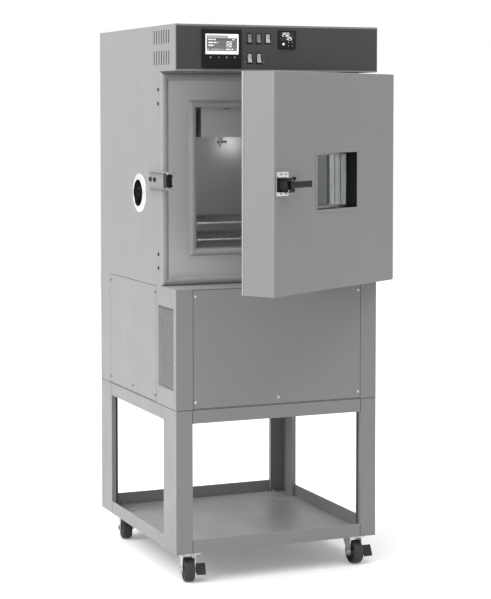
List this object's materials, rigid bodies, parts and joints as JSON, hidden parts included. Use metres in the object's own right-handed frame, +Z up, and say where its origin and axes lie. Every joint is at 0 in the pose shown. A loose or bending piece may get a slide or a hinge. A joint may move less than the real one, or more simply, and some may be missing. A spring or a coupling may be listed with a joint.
{
  "type": "temperature test chamber",
  "caption": "Floor-standing test chamber: thick windowed door, insulated steel workspace, overhanging control head, machine compartment and open caster stand with a tray.",
  "frame": {"origin": "on the floor, at the centre of the cabinet's footprint, without the open door", "axes": "+X to the right as seen from the front, -Y out of the front, +Z up"},
  "size_m": [0.6571, 0.9427, 1.4718],
  "materials": {
    "cabinet_paint": "fine textured grey enamel",
    "stainless": "brushed stainless sheet",
    "zinc": "bright zinc plate",
    "chrome": "polished",
    "black_plastic": "satin black",
    "wheel_rubber": "moulded dark rubber",
    "gasket_rubber": "pale soft silicone",
    "foam": "glass fibre and foam insulation",
    "glass": "clear",
    "aluminium": "bare mill finish",
    "copper": "bare copper tube",
    "machine_paint": "black enamel",
    "panel_film": "satin black film on sheet",
    "rocker_plastic": "glossy pale grey",
    "dark_steel": "black oxide"
  },
  "bodies": {
    "cabinet": {"stand_frame": "cabinet_paint", "stand_tray": "cabinet_paint", "caster_plates": "zinc", "base_frame": "cabinet_paint", "vent_screens": "cabinet_paint", "access_panels": "cabinet_paint", "power_inlet": "black_plastic", "compressor": "machine_paint", "condenser": "aluminium", "refrigerant_lines": "copper", "panel_screws": "zinc", "body_shell": "cabinet_paint", "body_screws": "dark_steel", "front_face": "stainless", "workspace_liner": "stainless", "body_foam": "foam", "door_gaskets": "gasket_rubber", "cable_port": "chrome", "keeper_bracket": "cabinet_paint", "keeper_strike": "black_plastic", "air_plenum": "stainless", "evaporator": "aluminium", "heater_and_probe": "stainless", "fan_motor": "machine_paint", "shelf_angles": "stainless", "hinges_body": "zinc", "head_case": "cabinet_paint", "control_panel": "panel_film", "controller": "black_plastic", "limit_controller": "black_plastic", "rocker_frames": "black_plastic"},
    "door": {"door_shell": "cabinet_paint", "door_liner": "stainless", "door_foam": "foam", "window_frame": "black_plastic", "window_panes": "glass", "window_spacers": "aluminium", "latch_plate": "chrome", "latch_housing": "black_plastic", "hinges_door": "zinc"},
    "condenser_fan": {"condenser_fan": "black_plastic"},
    "circulation_fan": {"circulation_fan": "aluminium"},
    "latch_handle": {"latch_handle": "black_plastic"},
    "shelf_upper": {"shelf_upper": "zinc"},
    "shelf_lower": {"shelf_lower": "zinc"},
    "rocker_upper_left": {"rocker_upper_left": "rocker_plastic"},
    "rocker_upper_middle": {"rocker_upper_middle": "rocker_plastic"},
    "rocker_upper_right": {"rocker_upper_right": "rocker_plastic"},
    "rocker_lower_left": {"rocker_lower_left": "rocker_plastic"},
    "rocker_lower_right": {"rocker_lower_right": "rocker_plastic"},
    "caster_fork_front_left": {"caster_fork_front_left": "zinc"},
    "caster_wheel_front_left": {"caster_wheel_front_left": "wheel_rubber"},
    "brake_lever_front_left": {"brake_lever_front_left": "dark_steel"},
    "caster_fork_front_right": {"caster_fork_front_right": "zinc"},
    "caster_wheel_front_right": {"caster_wheel_front_right": "wheel_rubber"},
    "brake_lever_front_right": {"brake_lever_front_right": "dark_steel"},
    "caster_fork_rear_left": {"caster_fork_rear_left": "zinc"},
    "caster_wheel_rear_left": {"caster_wheel_rear_left": "wheel_rubber"},
    "caster_fork_rear_right": {"caster_fork_rear_right": "zinc"},
    "caster_wheel_rear_right": {"caster_wheel_rear_right": "wheel_rubber"}
  },
  "joints": [
    {"name": "door_swing", "type": "hinge", "parent": "cabinet", "child": "door", "pos_m": [0.3076, -0.2026, 1.063], "axis": [0, 0, 1], "range_deg": [-32.25, 88]},
    {"name": "latch_handle_pull", "type": "hinge", "parent": "door", "child": "latch_handle", "pos_m": [-0.10743, -0.60907, 1.0617], "axis": [0, 0, -1], "range_deg": [0, 40]},
    {"name": "shelf_upper_slide", "type": "slide", "parent": "cabinet", "child": "shelf_upper", "axis": [0, -1, 0], "range_m": [0, 0.085]},
    {"name": "shelf_lower_slide", "type": "slide", "parent": "cabinet", "child": "shelf_lower", "axis": [0, -1, 0], "range_m": [0, 0.085]},
    {"name": "circulation_fan_spin", "type": "hinge", "parent": "cabinet", "child": "circulation_fan", "pos_m": [0.02, -0.04, 1.3], "axis": [0, 0, 1], "continuous": true},
    {"name": "condenser_fan_spin", "type": "hinge", "parent": "cabinet", "child": "condenser_fan", "pos_m": [-0.217, -0.239, 0.62], "axis": [1, 0, 0], "continuous": true},
    {"name": "rocker_upper_left_press", "type": "hinge", "parent": "cabinet", "child": "rocker_upper_left", "pos_m": [-0.0837, -0.3095, 1.4345], "axis": [1, 0, 0], "range_deg": [0, 16]},
    {"name": "rocker_upper_middle_press", "type": "hinge", "parent": "cabinet", "child": "rocker_upper_middle", "pos_m": [-0.058, -0.3095, 1.4345], "axis": [1, 0, 0], "range_deg": [0, 16]},
    {"name": "rocker_upper_right_press", "type": "hinge", "parent": "cabinet", "child": "rocker_upper_right", "pos_m": [-0.0319, -0.3095, 1.4345], "axis": [1, 0, 0], "range_deg": [0, 16]},
    {"name": "rocker_lower_left_press", "type": "hinge", "parent": "cabinet", "child": "rocker_lower_left", "pos_m": [-0.0837, -0.3095, 1.3825], "axis": [1, 0, 0], "range_deg": [0, 16]},
    {"name": "rocker_lower_right_press", "type": "hinge", "parent": "cabinet", "child": "rocker_lower_right", "pos_m": [-0.0571, -0.3095, 1.3825], "axis": [1, 0, 0], "range_deg": [0, 16]},
    {"name": "caster_fork_front_left_swivel", "type": "hinge", "parent": "cabinet", "child": "caster_fork_front_left", "pos_m": [-0.242, -0.2555, 0.07], "axis": [0, 0, 1], "continuous": true},
    {"name": "caster_wheel_front_left_roll", "type": "hinge", "parent": "caster_fork_front_left", "child": "caster_wheel_front_left", "pos_m": [-0.24715, -0.282, 0.03175], "axis": [0.9816, -0.1908, 0], "continuous": true},
    {"name": "brake_lever_front_left_press", "type": "hinge", "parent": "caster_fork_front_left", "child": "brake_lever_front_left", "pos_m": [-0.24715, -0.282, 0.03175], "axis": [0.9816, -0.1908, 0], "range_deg": [0, 20]},
    {"name": "caster_fork_front_right_swivel", "type": "hinge", "parent": "cabinet", "child": "caster_fork_front_right", "pos_m": [0.242, -0.2555, 0.07], "axis": [0, 0, 1], "continuous": true},
    {"name": "caster_wheel_front_right_roll", "type": "hinge", "parent": "caster_fork_front_right", "child": "caster_wheel_front_right", "pos_m": [0.24294, -0.28248, 0.03175], "axis": [0.9994, 0.0349, 0], "continuous": true},
    {"name": "brake_lever_front_right_press", "type": "hinge", "parent": "caster_fork_front_right", "child": "brake_lever_front_right", "pos_m": [0.24294, -0.28248, 0.03175], "axis": [0.9994, 0.0349, 0], "range_deg": [0, 20]},
    {"name": "caster_fork_rear_left_swivel", "type": "hinge", "parent": "cabinet", "child": "caster_fork_rear_left", "pos_m": [-0.242, 0.2555, 0.07], "axis": [0, 0, 1], "continuous": true},
    {"name": "caster_wheel_rear_left_roll", "type": "hinge", "parent": "caster_fork_rear_left", "child": "caster_wheel_rear_left", "pos_m": [-0.24599, 0.2288, 0.03175], "axis": [0.989, -0.1478, 0], "continuous": true},
    {"name": "caster_fork_rear_right_swivel", "type": "hinge", "parent": "cabinet", "child": "caster_fork_rear_right", "pos_m": [0.242, 0.2555, 0.07], "axis": [0, 0, 1], "continuous": true},
    {"name": "caster_wheel_rear_right_roll", "type": "hinge", "parent": "caster_fork_rear_right", "child": "caster_wheel_rear_right", "pos_m": [0.23965, 0.2286, 0.03175], "axis": [0.9962, -0.0872, 0], "continuous": true}
  ]
}
